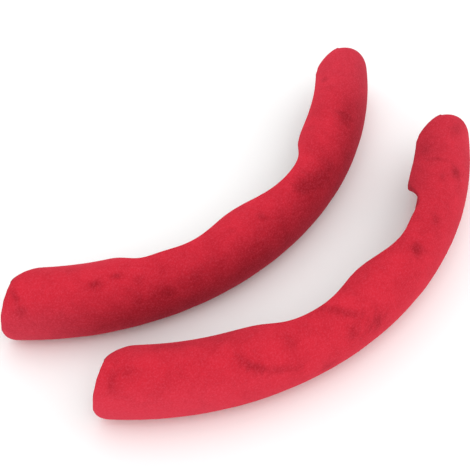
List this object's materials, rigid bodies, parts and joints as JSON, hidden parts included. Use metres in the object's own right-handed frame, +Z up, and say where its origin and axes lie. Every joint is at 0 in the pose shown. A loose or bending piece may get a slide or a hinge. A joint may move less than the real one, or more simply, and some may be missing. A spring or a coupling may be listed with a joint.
{
  "type": "steering wheel cover",
  "caption": "Clip-on suede steering wheel cover: mirror-image arc halves with a C-shaped section, a wavy thumb-rest lip and a rubber-lined channel.",
  "frame": {"origin": "centre of the pair's footprint, on the surface that the halves lie on", "axes": "+Z up, from the back of the cover towards the driver's side; +X along the pair; the halves' outer sides face -Y and their open sides +Y"},
  "size_m": [0.2912, 0.1507, 0.0416],
  "materials": {
    "red_suede": "brushed microfibre nap, soft sheen at grazing angles",
    "padding_foam": "closed-cell foam",
    "black_plastic": "fine moulded texture",
    "black_rubber": "matt, ribbed",
    "adhesive_tape": "grey foam tape",
    "release_paper": "waxed paper"
  },
  "bodies": {
    "left_half": {"left_suede_cover": "red_suede", "left_foam_padding": "padding_foam", "left_moulded_shell": "black_plastic", "left_rubber_lining": "black_rubber", "left_front_tape": "adhesive_tape", "left_front_tape_paper": "release_paper", "left_back_tape": "adhesive_tape", "left_back_tape_paper": "release_paper"},
    "right_half": {"right_suede_cover": "red_suede", "right_foam_padding": "padding_foam", "right_moulded_shell": "black_plastic", "right_rubber_lining": "black_rubber", "right_front_tape": "adhesive_tape", "right_front_tape_paper": "release_paper", "right_back_tape": "adhesive_tape", "right_back_tape_paper": "release_paper"}
  },
  "joints": [
    {"name": "right_half_lift", "type": "slide", "parent": "left_half", "child": "right_half", "axis": [0, 0, 1], "range_m": [0, 0.06]}
  ]
}
